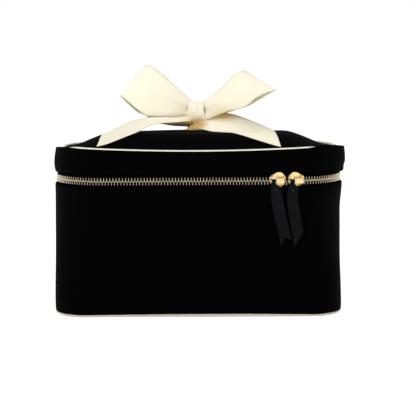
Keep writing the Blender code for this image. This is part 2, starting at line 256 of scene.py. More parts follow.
def lid_share(x, y):
    """How far out a point on the lid is: 0 at the middle and 1 at the lid's edge."""
    half_x, half_y = LID_HALF_X - TOP_INSET, -LID_FRONT - TOP_INSET
    x, y = abs(x), abs(y)
    corner_x, corner_y = half_x - CORNER, half_y - CORNER
    if x < 1e-9 and y < 1e-9:
        return 0.0
    side, front = x / half_x, y / half_y
    if side >= front and y <= corner_y * side:
        return side
    if front >= side and x <= corner_x * front:
        return front
    a = x * x + y * y
    b = x * corner_x + y * corner_y
    c = corner_x**2 + corner_y**2 - CORNER**2
    return a / (b + math.sqrt(max(0.0, b * b - a * c)))


def crown(share):
    """The crown's rise, as a share of its full height."""
    straight = min(1.0, (1 - share) / 0.38)
    return mix(straight, smooth(share, 1.0, 0.62), 0.55) * 0.93 + 0.07 * smooth(share, 0.5, 0.0)


def crown_top(y):
    """Height that the crown reaches at this Y: the lid leans back a little."""
    return CROWN_Z - CROWN_LEAN * smooth(y, -0.020, 0.060)


def lid_surface(x, y):
    """Height of the lid's top at a point, without its small wrinkles."""
    edge = EDGE_Z - FRONT_SAG * max(0.0, 1 - (x / 0.104) ** 2) * smooth(-y, 0.0, 0.060)
    return mix(edge - leaning(y) - 0.0006, crown_top(y), crown(lid_share(x, y)))


def top_height(s, y, share):
    """Height of the lid's top cloth on the line from the middle to s, at a share of the way."""
    trough = 0.0008 * math.exp(-(1 - share) / 0.012)
    return mix(lid_edge(s) - 0.0008, crown_top(y), crown(share)) - trough


# Meshes.


def along(points, closed):
    """Distances along a row of points, from its first one."""
    made = [0.0]
    for a, b in zip(points, points[1:]):
        made.append(made[-1] + (b - a).length)
    if closed:
        made.append(made[-1] + (points[0] - points[-1]).length)
    return made


def grid(name, rows, ring=False, tube=False, caps=False, middles=()):
    """A surface through rows of points, with its UV map in metres: U along the rows' order, V along a row.

    ring joins the last row to the first, tube joins each row's ends, and caps fills a tube's two ends.
    middles says which point of every row (0 the first, -1 the last) lies round a middle that is filled.
    """
    high, wide = len(rows), len(rows[0])
    us = along([row[wide // 3] for row in rows], ring)
    vs = along(rows[high // 2], tube)
    shape = bmesh.new()
    layer = shape.loops.layers.uv.new("UVMap")
    points = [[shape.verts.new(p) for p in row] for row in rows]
    for i in range(high if ring else high - 1):
        for j in range(wide if tube else wide - 1):
            corners = ((i, j), (i, j + 1), (i + 1, j + 1), (i + 1, j))
            face = shape.faces.new([points[a % high][b % wide] for a, b in corners])
            for loop, (u, v) in zip(face.loops, corners):
                loop[layer].uv = (us[u], vs[v])
    ends = [points[0], points[-1][::-1]] if caps else []
    for edge in (*ends, *([row[end] for row in points] for end in middles)):
        shape.faces.new(edge)
    return finish_mesh(name, shape)


def finish_mesh(name, shape):
    bmesh.ops.recalc_face_normals(shape, faces=shape.faces)
    for face in shape.faces:
        face.smooth = True
    mesh = bpy.data.meshes.new(name)
    shape.to_mesh(mesh)
    shape.free()
    obj = bpy.data.objects.new(name, mesh)
    COLLECTION.objects.link(obj)
    return obj


def join_rings(shape, rings):
    """Faces between rings of vertices, and over the first and the last ring."""
    for low, high in zip(rings, rings[1:]):
        for i in range(len(low)):
            j = (i + 1) % len(low)
            shape.faces.new((low[i], low[j], high[j], high[i]))
    shape.faces.new(rings[0])
    shape.faces.new(rings[-1])


def sharpen(obj, degrees):
    """Shades the edges that are steeper than this as sharp ones."""
    obj.data.set_sharp_from_angle(angle=math.radians(degrees))
    return obj


def thicken(obj, thickness, offset=0.0):
    shell = obj.modifiers.new("Cloth thickness", "SOLIDIFY")
    shell.thickness = thickness
    shell.offset = offset
    return obj


def rounded(obj, width):
    bevel = obj.modifiers.new("Rounded edges", "BEVEL")
    bevel.width = width
    bevel.segments = 3
    bevel.limit_method = "ANGLE"
    bevel.angle_limit = math.radians(40)
    return obj


def piece(obj, body, material, replaces=()):
    """Gives a finished piece its material and its place in the frame."""
    obj.data.materials.append(material)
    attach(obj, body)
    if replaces:
        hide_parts(*replaces)
    return obj


def folded(outer, thickness):
    """A closed profile of doubled cloth: its outer face, upper fold, inner face and lower fold."""
    r = thickness / 2

    def fold(centre, degrees):
        turns = [math.radians(a) for a in degrees]
        return [(centre[0] - r + r * math.cos(a), centre[1] + r * math.sin(a)) for a in turns]

    over = fold(outer[-1], (30, 60, 90, 120, 150))
    under = fold(outer[0], (210, 240, 270, 300, 330))
    return [*outer, *over, *((out - 2 * r, z) for out, z in reversed(outer)), *under]


def wall(name, s_values, profile):
    """A piece of wall from a closed profile (out, z) at each s."""
    rows = [[on_wall(s, out, z) for out, z in profile(s)] for s in s_values]
    return grid(name, rows, tube=True, caps=True)


# Materials.


class Look:
    """A procedural material: a Principled shader and the nodes that feed it."""

    def __init__(self, name, colour, roughness, metallic=0.0, **sockets):
        self.material = bpy.data.materials.new(name)
        self.material.use_nodes = True
        self.tree = self.material.node_tree
        self.shader = self.tree.nodes["Principled BSDF"]
        values = {"Base Color": (*colour, 1.0), "Roughness": roughness, "Metallic": metallic, **sockets}
        for socket, value in values.items():
            self.shader.inputs[socket.replace("_", " ")].default_value = value

    def node(self, kind, output=0, **inputs):
        """The output of a new node with these inputs, each of them a value or another node's output."""
        made = self.tree.nodes.new(f"ShaderNode{kind}")
        for socket, value in inputs.items():
            self.feed(made.inputs[socket], value)
        return made.outputs[output]

    def feed(self, target, value):
        if isinstance(value, bpy.types.NodeSocket):
            self.tree.links.new(value, target)
        else:
            target.default_value = value

    def maths(self, operation, *values):
        result = self.node("Math")
        result.node.operation = operation
        for target, value in zip(result.node.inputs, values):
            self.feed(target, value)
        return result

    def times(self, a, b):
        return self.maths("MULTIPLY", a, b)

    def scaled(self, value, factor, base):
        """value times factor, plus base."""
        return self.maths("MULTIPLY_ADD", value, factor, base)

    def uv(self):
        """The two UV coordinates, in metres."""
        source = self.node("UVMap")
        source.node.uv_map = "UVMap"
        split = self.node("SeparateXYZ", Vector=source).node
        return split.outputs[0], split.outputs[1]

    def place(self):
        return self.node("TexCoord", "Object")

    def speckle(self, size, detail=2.0):
        """Noise from 0 to 1 in the object's own space."""
        return self.node("TexNoise", "Fac", Scale=1 / size, Detail=detail, Vector=self.place())

    def tint(self, factor, dark, light):
        """Mixes two colours by a factor from 0 to 1 into the base colour."""
        mixer = self.node("Mix").node
        mixer.data_type = "RGBA"
        colours = [i for i in mixer.inputs if i.type == "RGBA"]
        for socket, value in zip((mixer.inputs[0], *colours), (factor, (*dark, 1.0), (*light, 1.0))):
            self.feed(socket, value)
        result = [o for o in mixer.outputs if o.type == "RGBA"][0]
        self.tree.links.new(result, self.shader.inputs["Base Color"])
        return self

    def deepen(self, factor, colour):
        """Mixes one more colour over the base colour."""
        target = self.shader.inputs["Base Color"]
        base = target.links[0].from_socket
        self.tint(factor, colour, colour)
        first = [i for i in target.links[0].from_node.inputs if i.type == "RGBA"][0]
        self.tree.links.new(base, first)
        return self

    def relief(self, height, depth, strength=1.0):
        """Bump from a height of 0 to 1, this deep in metres; a second one adds to the first."""
        result = self.node("Bump", Strength=strength, Distance=depth, Height=height)
        normal = self.shader.inputs["Normal"]
        if normal.is_linked:
            self.tree.links.new(normal.links[0].from_socket, result.node.inputs["Normal"])
        self.tree.links.new(result, normal)
        return self

    def near(self, centre, radius):
        """1 at a place in the object's own space, falling to 0 this far from it."""
        away = self.node("VectorMath").node
        away.operation = "DISTANCE"
        self.tree.links.new(self.place(), away.inputs[0])
        away.inputs[1].default_value = centre
        share = self.maths("SUBTRACT", 1.0, self.maths("DIVIDE", away.outputs["Value"], radius))
        return self.maths("SMOOTH_MAX", share, 0.0, 0.05)

    def roughen(self, factor, low, high):
        self.tree.links.new(self.scaled(factor, high - low, low), self.shader.inputs["Roughness"])
        return self

    def hump(self, coordinate, pitch):
        """A row of round humps, one for each pitch."""
        return self.maths("ABSOLUTE", self.maths("SINE", self.times(coordinate, math.pi / pitch)))

    def weave(self, pitch, turn=0.0):
        """A plain weave: threads along U over threads along V, turn and turn about."""
        u, v = self.uv()
        if turn:
            c, s = math.cos(turn), math.sin(turn)
            u, v = (self.maths("ADD", self.times(u, a), self.times(v, b)) for a, b in ((c, -s), (s, c)))
        cells = [self.maths("FLOOR", self.maths("DIVIDE", value, pitch)) for value in (u, v)]
        over = self.maths("PINGPONG", self.maths("ADD", *cells), 1.0)
        first = self.times(self.hump(u, pitch), over)
        second = self.times(self.hump(v, pitch), self.maths("SUBTRACT", 1.0, over))
        return self.maths("ADD", first, second)


def black_cloth():
    sheen = {"Sheen_Weight": 0.016, "Sheen_Roughness": 0.30}
    look = Look("black_cloth", (0.0008, 0.0008, 0.0009), 0.86, Specular_IOR_Level=0.012, **sheen)
    threads = look.weave(0.00042)
    look.relief(threads, 0.00012, 0.7).relief(look.speckle(0.0035, 4.0), 0.00015, 0.5)
    look.tint(look.speckle(0.0016, 3.0), (0.0005, 0.0005, 0.0006), (0.0011, 0.0011, 0.0013))
    return look.roughen(threads, 0.92, 0.78).material


def black_tape():
    look = Look("black_zip_tape", (0.0010, 0.0010, 0.0012), 0.9, Specular_IOR_Level=0.012)
    u, v = look.uv()
    knit = look.times(look.hump(u, 0.0007), look.hump(v, 0.0005))
    look.relief(knit, 0.0002)
    return look.tint(knit, (0.0003, 0.0003, 0.0004), (0.0013, 0.0013, 0.0016)).material


def ribbed(look, pitch, depth, width, selvedge):
    """Cross ribs along a ribbon of this width, and its two flatter woven edges."""
    u, v = look.uv()
    from_middle = look.maths("ABSOLUTE", look.maths("SUBTRACT", v, width / 2))
    edge = look.maths("GREATER_THAN", from_middle, width / 2 - selvedge)
    ribs = look.times(look.hump(u, pitch), look.scaled(edge, -0.7, 1.0))
    height = look.scaled(look.hump(v, pitch * 0.55), 0.25, look.times(ribs, 0.75))
    look.relief(height, depth)
    return height


# The places in the bow's folds by the knot where golden-brown shade is painted into the ribbon's colour:
# (centre, radius, how much).
PAINTED_SHADE_SPOTS = (
    ((0.000, -0.016, 0.1510), 0.012, 1.8),
    ((0.021, -0.006, 0.1610), 0.016, 1.3),
    ((-0.014, -0.012, 0.1590), 0.015, 0.35),
)


def cream_ribbon(name, dark, light):
    look = Look(name, light, 0.62, Specular_IOR_Level=0.20, Sheen_Weight=0.06, Sheen_Roughness=0.40)
    ribs = ribbed(look, 0.00062, 0.00010, 0.038, 0.0009)
    look.tint(look.scaled(look.speckle(0.006, 3.0), 0.35, look.times(ribs, 0.65)), dark, light)
    # Golden-brown painted shade, deepest in the folds under and beside the knot.
    for centre, radius, most in PAINTED_SHADE_SPOTS:
        look.deepen(look.times(look.near(centre, radius), most), (0.62, 0.42, 0.14))
    return look.material


def pull_ribbon():
    shine = {"Specular_IOR_Level": 0.05, "Sheen_Weight": 0.012}
    look = Look("black_pull_ribbon", (0.003, 0.0032, 0.0040), 0.62, **shine)
    ribs = ribbed(look, 0.00055, 0.00012, 0.0095, 0.0006)
    return look.tint(ribs, (0.0014, 0.0015, 0.0019), (0.0042, 0.0045, 0.0054)).material


def cream_piping(name, dark, light):
    look = Look(name, light, 0.75, Specular_IOR_Level=0.2)
    threads = look.weave(0.00036, math.pi / 4)
    look.relief(threads, 0.00010, 0.8).relief(look.speckle(0.004, 3.0), 0.0002, 0.5)
    return look.tint(look.speckle(0.005, 3.0), dark, light).material


def lining_cloth(name, light):
    look = Look(name, light, 0.8, Specular_IOR_Level=0.2)
    threads = look.weave(0.0005)
    look.relief(threads, 0.00008, 0.7).relief(look.speckle(0.012, 3.0), 0.0006, 0.5)
    shade = look.scaled(look.speckle(0.008), 0.5, look.times(threads, 0.5))
    return look.tint(shade, [c * 0.90 for c in light], light).material


def elastic_cloth():
    look = Look("cream_elastic", (0.86, 0.81, 0.70), 0.8, Specular_IOR_Level=0.2)
    u, v = look.uv()
    ribs = look.times(look.hump(v, 0.0012), look.scaled(look.hump(u, 0.0008), 0.4, 0.6))
    look.relief(ribs, 0.0003)
    return look.tint(ribs, (0.74, 0.68, 0.57), (0.89, 0.85, 0.75)).material


def grained(name, dark, light, roughness, specular, size, detail, depth):
    """A plain material whose colour and relief both follow one fine noise."""
    look = Look(name, light, roughness, Specular_IOR_Level=specular)
    grain = look.speckle(size, detail)
    look.relief(grain, depth)
    return look.tint(grain, dark, light).material


def gold_plate(name, dark, light, patch, wear_detail, roughness):
    """Gold plating, worn rougher in places, with its colour in patches of this size."""
    look = Look(name, light, roughness[0], metallic=1.0)
    wear = look.speckle(0.0011, wear_detail)
    look.relief(wear, 0.00004, 0.6).tint(look.speckle(*patch), dark, light)
    return look.roughen(wear, *roughness).material


def black_metal():
    look = Look("black_rivet_metal", (0.03, 0.03, 0.032), 0.16, metallic=1.0)
    wear = look.speckle(0.0006, 3.0)
    return look.relief(wear, 0.00003, 0.5).roughen(wear, 0.12, 0.26).material


def thread(name, light):
    return grained(name, [c * 0.8 for c in light], light, 0.7, 0.2, 0.0005, 1.0, 0.0001)


BLACK = black_cloth()
TAPE = black_tape()
RIBBON = cream_ribbon("cream_ribbon", (0.925, 0.858, 0.655), (0.960, 0.905, 0.745))
# A darker, golden copy of the cream ribbon with shade painted into its colour, for the under fold and the
# stay, which lie in shade under the knot.
RIBBON_SHADED = cream_ribbon("cream_ribbon_painted_shade", (0.62, 0.45, 0.17), (0.76, 0.60, 0.28))
PULL = pull_ribbon()
PIPING = cream_piping("lid_piping_cloth", (0.86, 0.80, 0.69), (0.95, 0.91, 0.82))
# A darker, greyer copy of the cream piping, with the shade under the body's overhanging cloth painted into
# its colour, for the foot's piping.
FOOT_PIPING_SHADED = cream_piping("foot_piping_painted_shade", (0.48, 0.43, 0.36), (0.62, 0.56, 0.48))
LINING = lining_cloth("cream_lining", (0.84, 0.80, 0.70))
POCKET = lining_cloth("cream_pocket", (0.86, 0.82, 0.73))
ELASTIC = elastic_cloth()
GOLD = gold_plate("gold_metal", (0.78, 0.57, 0.26), (0.92, 0.75, 0.44), (0.003, 3.0), 4.0, (0.18, 0.36))
# The teeth have the same plating, worn to a paler and more silvery gold.
SILVERY = ((0.30, 0.21, 0.09), (0.74, 0.68, 0.56))
TEETH = gold_plate("pale_gold_teeth", *SILVERY, (0.0017, 2.0), 3.0, (0.12, 0.28))
RIVET = black_metal()
FOAM = grained("foam_wadding", (0.62, 0.62, 0.60), (0.82, 0.82, 0.80), 0.95, 0.1, 0.0012, 4.0, 0.0004)
BOARD = grained("stiff_board", (0.47, 0.44, 0.39), (0.60, 0.57, 0.52), 0.6, 0.5, 0.003, 5.0, 0.0001)
BLACK_THREAD = thread("black_thread", (0.010, 0.010, 0.012))
CREAM_THREAD = thread("cream_thread", (0.82, 0.77, 0.66))


# The body's cloth. Like the lid's it has two pieces: one round the front and the sides, one at the back.

SIDES = steps(BACK_SEAM, ROUND - BACK_SEAM, STEP)
BACK = steps(-BACK_SEAM + 0.0002, BACK_SEAM - 0.0002, STEP)


def squarer(s):
    """How far out the plan lies where its corners are as tight as the foot's, not as round as the zip's."""
    t = from_back(s)
    if FLAT_X < t < LEFT_START:
        turn = (t - FLAT_X) / CORNER
    elif LEFT_END < t < FRONT_START:
        turn = (t - LEFT_END) / CORNER
    else:
        return 0.0
    turn = min(turn, math.pi / 2 - turn)
    shift = CORNER - FOOT_CORNER
    if CORNER * math.tan(turn) < shift:
        return CORNER / math.cos(turn) - CORNER
    reach = shift * (math.cos(turn) + math.sin(turn))
    return reach + math.sqrt(reach * reach - 2 * shift * shift + FOOT_CORNER**2) - CORNER


def foot_out(s, z):
    """How far the soft body stands out because its foot is squarer and its sides are full."""
    sideways = plan(s)[1].x
    left, right = smooth(-sideways, 0.3, 1.0), smooth(sideways, 0.3, 1.0)
    out = squarer(s) * smooth(z, 0.092, 0.006)
    out += left * (0.0009 + 0.0006 * bump(z, 0.062, 0.030))
    return out + right * (0.0016 * smooth(z, 0.085, 0.108) - 0.0006)


def body_out(s, z):
    """How far the body's soft wall stands out at a place on it."""
    point = on_wall(s, 0, z)
    out = foot_out(s, z) + 0.00035 * ripple(point, 0.050, 1) + 0.00010 * ripple(point, 0.014, 2)
    along_wall = on_wall(s, 0, 0)
    under_zip = math.exp(-(WALL_HIGH - z) / 0.0060)
    over_foot = math.exp(-(z - FOOT_Z) / 0.0070)
    out += 0.00030 * ripple(along_wall, 0.0065, 3) * under_zip
    out += 0.00028 * ripple(along_wall, 0.0080, 4) * over_foot
    out -= 0.00045 * math.exp(-(z - FOOT_Z) / 0.0012)
    return out - 0.0008 * math.exp(-max(0.0, abs(from_back(s) - BACK_SEAM)) / 0.0010)


def body_profile(s):
    low = FOOT_Z + 0.0009 * math.cos(math.pi / 2 * min(1.0, abs(from_back(s) - FRONT_MIDDLE) / 0.100))
    heights = [mix(low + CLOTH / 2, WALL_HIGH - CLOTH / 2, i / 25) for i in range(26)]
    return folded([(body_out(s, z), z) for z in heights], CLOTH)


def outer_cloth(name, node, body, s_values, profile):
    """A piece of the black outer cloth, in place of its part in the frame; the frame's foam stays behind
    it.
    """
    cloth = piece(wall(name, s_values, profile), body, BLACK, [node])


def build_body():
    outer_cloth("front_and_side_cloth", "front_side_panel", "body", SIDES, body_profile)
    outer_cloth("back_cloth", "back_panel", "body", BACK, body_profile)

    def route(s):
        return foot_out(s, 0) - BASE_PIPING_RADIUS - 0.0003, BASE_PIPING_RADIUS

    piping = cord("foot_piping", route, BASE_PIPING_RADIUS)
    # The foot's piping wears the copy of the cream piping with painted shade.
    piece(piping, "body", FOOT_PIPING_SHADED, ["base_piping"])
    piece(base_panel(), "body", BLACK, ["base_panel"])


def cord(name, route, radius):
    """Cloth-covered cord round the whole bag; route gives (out, z) at s. Its cover is gathered a little."""
    rows = []
    turns = [2 * math.pi * i / 10 for i in range(10)]
    for s in around(STEP):
        out, z = route(s)
        thick = radius * (1 + 0.03 * ripple(on_wall(s, 0, 0), 0.006, 11))
        rows.append([on_wall(s, out + thick * math.cos(a), z + thick * math.sin(a)) for a in turns])
    return grid(name, rows, ring=True, tube=True)


def base_panel():
    """The flat bottom, inside the foot piping."""
    low, middle, high = 0.0003, 0.0012, 0.0018
    shares = (0.97, 0.90, 0.75, 0.5, 0.25, 0.06)
    rows = []
    for s in around(COARSE):
        edge = foot_out(s, 0) - 2 * BASE_PIPING_RADIUS
        rim = on_wall(s, edge - 0.0004, 0)
        under = [inward(rim, share, low) for share in reversed(shares)]
        over = [inward(rim, share, high) for share in shares]
        lip = [rim + Vector((0, 0, 2 * low)), on_wall(s, edge, middle), rim + Vector((0, 0, high))]
        rows.append([*under, *lip, *over])
    return grid("base_cloth", rows, ring=True, middles=(0, -1))


# The lid.


def band_low(s):
    """Height of the band's lower fold, which rises towards the right front corner."""
    s %= ROUND
    near_right = bump(s, RIGHT_CORNER - 0.030, 0.026)
    near_left = bump(s, LEFT_END + ARC / 2, 0.030)
    on_sides = smooth(abs(plan(s)[1].x), 0.6, 1.0)
    return BAND_LOW + 0.0001 + 0.0014 * near_right + 0.0005 * near_left - 0.0016 * on_sides


def band_out(s, share, z):
    """How far the band stands out at a share of its height from its lower fold."""
    point = on_wall(s, 0, z)
    front = smooth(from_back(s), FLAT_X, LEFT_START)
    bulge = 0.0009 * math.sin(math.pi * min(1.0, 0.12 + share * 0.95)) * front
    soft = 0.00055 * ripple((point.x, point.y, point.z * 2.2), 0.030, 5) * smooth(share, 1.0, 0.75)
    dents = 0.00030 * ripple((point.x, point.y, point.z * 1.5), 0.012, 6) * smooth(share, 1.0, 0.8)
    gathers = ripple(on_wall(s, 0, 0), 0.0060, 7)
    near_top, near_low = math.exp(-(1 - share) / 0.22), math.exp(-share / 0.15)
    puckers = 0.00010 * gathers * near_top + 0.00025 * gathers * near_low
    second_fold = -0.0011 * bump(share, 0.23, 0.045) * bump(s % ROUND, RIGHT_CORNER, 0.030)
    sideways = plan(s)[1].x
    slack = 0.0012 * smooth(sideways, 0.3, 1.0) * smooth(share, 0.15, 0.45)
    slack -= mix(0.0010, 0.0015, share) * smooth(-sideways, 0.3, 1.0)
    tucked = -0.0009 * math.exp(-(1 - share) / 0.05) * (1 - rolled(s))
    return overhang(s) + bulge + soft * front + dents + puckers + second_fold + slack + tucked


def band_profile(s):
    low = band_low(s) + CLOTH / 2
    high = lid_edge(s) - 0.0001 - CLOTH / 2 + 0.0018 * rolled(s)
    outer = [(band_out(s, i / 11, mix(low, high, i / 11)), mix(low, high, i / 11)) for i in range(12)]
    return folded(outer, CLOTH)


def piping_route(s):
    return overhang(s) - PIPING_INSET - 0.0010 * rolled(s), lid_edge(s) - 0.0003 - 0.0009 * rolled(s)


def build_lid():
    outer_cloth("lid_band_cloth", "lid_band", "lid", SIDES, band_profile)
    outer_cloth("lid_back_cloth", "lid_back_band", "lid", BACK, band_profile)
    piping = cord("lid_edge_piping", piping_route, PIPING_RADIUS)
    piece(piping, "lid", PIPING, ["lid_piping"])
    top = piece(lid_top(), "lid", BLACK, ["lid_top_panel"])
    filling = piece(lid_filling(), "lid", FOAM, ["lid_padding"])
    piece(lid_board(), "lid", BOARD, ["lid_board"])


def lid_filling():
    """The wadding that rounds the lid, shaped to lie just under its top."""
    rows = []
    floor_z = BOARD_HIGH + 0.0002
    for s in around(COARSE):
        rim = on_wall(s, overhang(s) - TOP_INSET, 0)
        row = [inward(rim, share, floor_z) for share in (0.08, 0.45, 0.85)]
        for share in (0.90, 0.88, 0.84, 0.78, 0.72, 0.66, 0.60, 0.50, 0.40, 0.25, 0.08):
            point = inward(rim, share, 0)
            under = 0.0016 + 0.0003 * ripple(point, 0.012, 10)
            point.z = max(floor_z + 0.0001, top_height(s, point.y, share) - under)
            row.append(point)
        rows.append(row)
    return grid("lid_filling_wadding", rows, ring=True, middles=(0, -1))


def lid_board():
    """The lid's board, cut back from the rounded edge."""
    rows = []
    for s in around(COARSE):
        rim = on_wall(s, overhang(s) - BOARD_INSET, 0)
        shares = (0.1, 0.6, 1.0)
        under = [inward(rim, share, BOARD_LOW) for share in shares]
        rows.append([*under, *(inward(rim, share, BOARD_HIGH) for share in reversed(shares))])
    return sharpen(grid("lid_board_sheet", rows, ring=True, middles=(0, -1)), 40)


# The lid's top is made of rings of points, at these shares of the way out from its middle.
TOP_RINGS = (
    1.0, 0.985, 0.965, 0.94, 0.91, 0.88, 0.84, 0.80, 0.76, 0.72, 0.68,
    0.64, 0.60, 0.55, 0.50, 0.44, 0.38, 0.30, 0.22, 0.14, 0.06,
)


def lid_top():
    """The crowned top cloth, from the piping in to the middle, with its UV map along X and Y."""
    rows = []
    for s in around(STEP):
        rim = on_wall(s, overhang(s) - TOP_INSET, 0)
        gathers = ripple(on_wall(s, 0, 0), 0.0070, 8)
        row = []
        for share in TOP_RINGS:
            point = inward(rim, share, 0)
            slack = 0.00050 * ripple(point, 0.034, 9) * smooth(share, 1.0, 0.85)
            slack += 0.00035 * gathers * math.exp(-(1 - share) / 0.06)
            point.z = top_height(s, point.y, share) + slack
            row.append(point)
        rows.append(row)
    top = grid("lid_top_cloth", rows, ring=True, middles=(-1,))
    layer = top.data.uv_layers["UVMap"].data
    for loop in top.data.loops:
        layer[loop.index].uv = top.data.vertices[loop.vertex_index].co.xy
    return thicken(top, 0.0010, -1.0)


# The zip.


def tape_profile(edge_z, far_z):
    """A woven tape with a corded edge at the teeth."""
    sign = 1 if far_z > edge_z else -1
    bead_radius, half = 0.0007, 0.0003
    turns = [math.radians(degrees) for degrees in (-60, -20, 20, 60, 90, 120, 160, 200, 240)]
    bead = [
        (bead_radius * math.cos(a) - TAPE_DEPTH, edge_z - sign * bead_radius * math.sin(a)) for a in turns
    ]
    near_z = mix(edge_z, far_z, 0.3)
    inner, outer = -TAPE_DEPTH - half, -TAPE_DEPTH + half
    return [*bead, (inner, near_z), (inner, far_z), (outer, far_z), (outer, near_z)]


# A tooth's sections from its feet to its head, in millimetres: (height, half length, half depth).
TOOTH = (
    (-3.10, 0.28, 0.75), (-2.95, 0.42, 1.0), (-2.6, 0.46, 1.08), (-1.35, 0.46, 1.08), (-0.90, 0.38, 0.95),
    (-0.35, 0.54, 0.98), (0.30, 0.62, 0.98), (0.66, 0.46, 0.85), (0.80, 0.24, 0.55),
)
TOOTH_CUT = 0.45


def add_tooth(shape, s, side, shift):
    """One tooth at s, reaching up from the lower row (side -1) or down from the upper row (side 1)."""
    point, normal = plan(s)
    forward = Vector((-normal.y, normal.x, 0))
    origin = point - normal * TAPE_DEPTH + Vector((0, 0, ZIP_Z + shift))
    quarter = ((1, TOOTH_CUT), (TOOTH_CUT, 1), (-TOOTH_CUT, 1), (-1, TOOTH_CUT))
    corners = (*quarter, *((-a, -b) for a, b in quarter))
    rings = []
    for height, half_u, half_v in TOOTH:
        middle = origin + Vector((0, 0, -side * height * MM))
        u, v = forward * half_u * MM, normal * half_v * MM
        rings.append([shape.verts.new(middle + u * a + v * b) for a, b in corners])
    join_rings(shape, rings)


def between_sliders(s):
    """How far a row is parted at s, where the two sliders face each other."""
    return smooth(s, GAP_S - 0.0045, GAP_S - 0.0010) * smooth(s, GAP_S + 0.0045, GAP_S + 0.0010)


def build_teeth():
    count = round((ROUND - 2 * TEETH_START) / TOOTH_PITCH)
    pitch = (ROUND - 2 * TEETH_START) / count
    for side, row, body, offset in ((-1, "lower", "body", 0.25), (1, "upper", "lid", 0.75)):
        shape = bmesh.new()
        for k in range(count):
            s = TEETH_START + pitch * (k + offset)
            add_tooth(shape, s, side, side * 0.0008 * between_sliders(s))
        teeth = sharpen(finish_mesh(f"zip_teeth_{row}_row", shape), 35)
        piece(teeth, body, TEETH, [f"zip_teeth_{row}"])


def build_tapes():
    sides = steps(TAPE_START, ROUND - TAPE_START, STEP)
    for row, body, profile in (
        ("lower", "body", lambda s: tape_profile(ZIP_Z - 0.0013, WALL_HIGH - 0.0050)),
        ("upper", "lid", lambda s: tape_profile(ZIP_Z + 0.0013, band_low(s) + 0.0050)),
    ):
        tape = wall(f"zip_tape_{row}_strip", sides, profile)
        piece(tape, body, TAPE, [f"zip_tape_{row}"])


def build_stops():
    """The metal stops that close each end of each row, clamped round the tape."""
    for row, body in (("lower", "body"), ("upper", "lid")):
        for end in ("left", "right"):
            node = f"zip_stop_{row}_{end}"
            shape = bmesh.new()
            add_box(shape, *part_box(node))
            stop = finish_mesh(f"{node}_clip", shape)
            rounded(stop, 0.0005)
            piece(stop, body, GOLD, [node])


# The sliders and their pulls. A slider's own frame is in millimetres: u along the zip, v out of it, w up.

# The pin lies on the pull's joint, which is a little under the middle of the raised slider.
PIN_V = 3.75
PIN_W = -SLIDER_LIFT / MM


def slider_place(side):
    """The matrix from a slider's own frame in millimetres to the bag."""
    low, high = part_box(f"slider_{side}")
    if side == "left":
        origin, normal = Vector(((low.x + high.x) / 2, -HALF_Y, ZIP_Z)), Vector((0, -1, 0))
    else:
        turn = math.asin(((low.x + high.x) / 2 - FLAT_X) / CORNER)
        normal = Vector((math.sin(turn), -math.cos(turn), 0))
        origin = Vector((FLAT_X, -FLAT_Y, ZIP_Z)) + normal * CORNER
    forward = Vector((-normal.y, normal.x, 0))
    origin.z += SLIDER_LIFT
    turned = Matrix((forward, normal, (0, 0, 1))).transposed().to_4x4()
    return Matrix.Translation(origin) @ turned @ Matrix.Scale(MM, 4)


def shield(mouth):
    """The plate's outline, as (u, w): wide and round at the mouth, narrow and square at the tail."""
    half = [
        (-6.5, 0.0), (-6.5, 2.3), (-6.0, 3.1), (-4.2, 4.2), (-1.6, 5.4),
        (0.8, 6.0), (2.9, 5.7), (4.9, 4.4), (6.2, 2.4), (6.6, 0.0),
    ]
    upper = catmull([Vector(p) for p in half], 4)
    return [(mouth * p.x, p.y) for p in upper] + [(mouth * p.x, -p.y) for p in upper[-2:0:-1]]


# A plate's outer face from its edge to its middle: (share of the way out, share of the rim's height).
PLATE_FACE = ((1.0, 0.0), (0.975, 0.7), (0.93, 1.0), (0.88, 0.9), (0.80, 0.15), (0.70, 0.0), (0.25, 0.05))


def add_plate(shape, outline, low, high, rim):
    """A plate of this outline between two depths, with a rim on its outer face that ends under the lid."""
    rings = [[shape.verts.new((u, low, w)) for u, w in outline]]
    for share, rise in PLATE_FACE:
        points = [(u * share, high + rim * rise * smooth(w, 5.6, 3.6), w * share) for u, w in outline]
        rings.append([shape.verts.new(p) for p in points])
    join_rings(shape, rings)


def add_box(shape, low, high):
    low, high = Vector(low), Vector(high)
    cube = bmesh.ops.create_cube(shape, size=1.0)["verts"]
    sized = Matrix.Translation((low + high) / 2) @ Matrix.Diagonal((*(high - low), 1.0))
    bmesh.ops.transform(shape, matrix=sized, verts=cube)


def add_pin(shape, low_u, high_u, radius):
    """The round pin that the pull hangs on, along u."""
    size = {"radius1": radius, "radius2": radius, "depth": high_u - low_u}
    made = bmesh.ops.create_cone(shape, cap_ends=True, segments=16, **size)
    middle = Matrix.Translation(((low_u + high_u) / 2, PIN_V, PIN_W))
    bmesh.ops.transform(shape, matrix=middle @ Matrix.Rotation(math.pi / 2, 4, "Y"), verts=made["verts"])


def slider_piece(name, shape, side, node, place):
    made = finish_mesh(name, shape)
    made.data.transform(place)
    piece(sharpen(made, 50), f"slider_{side}", GOLD, [node])


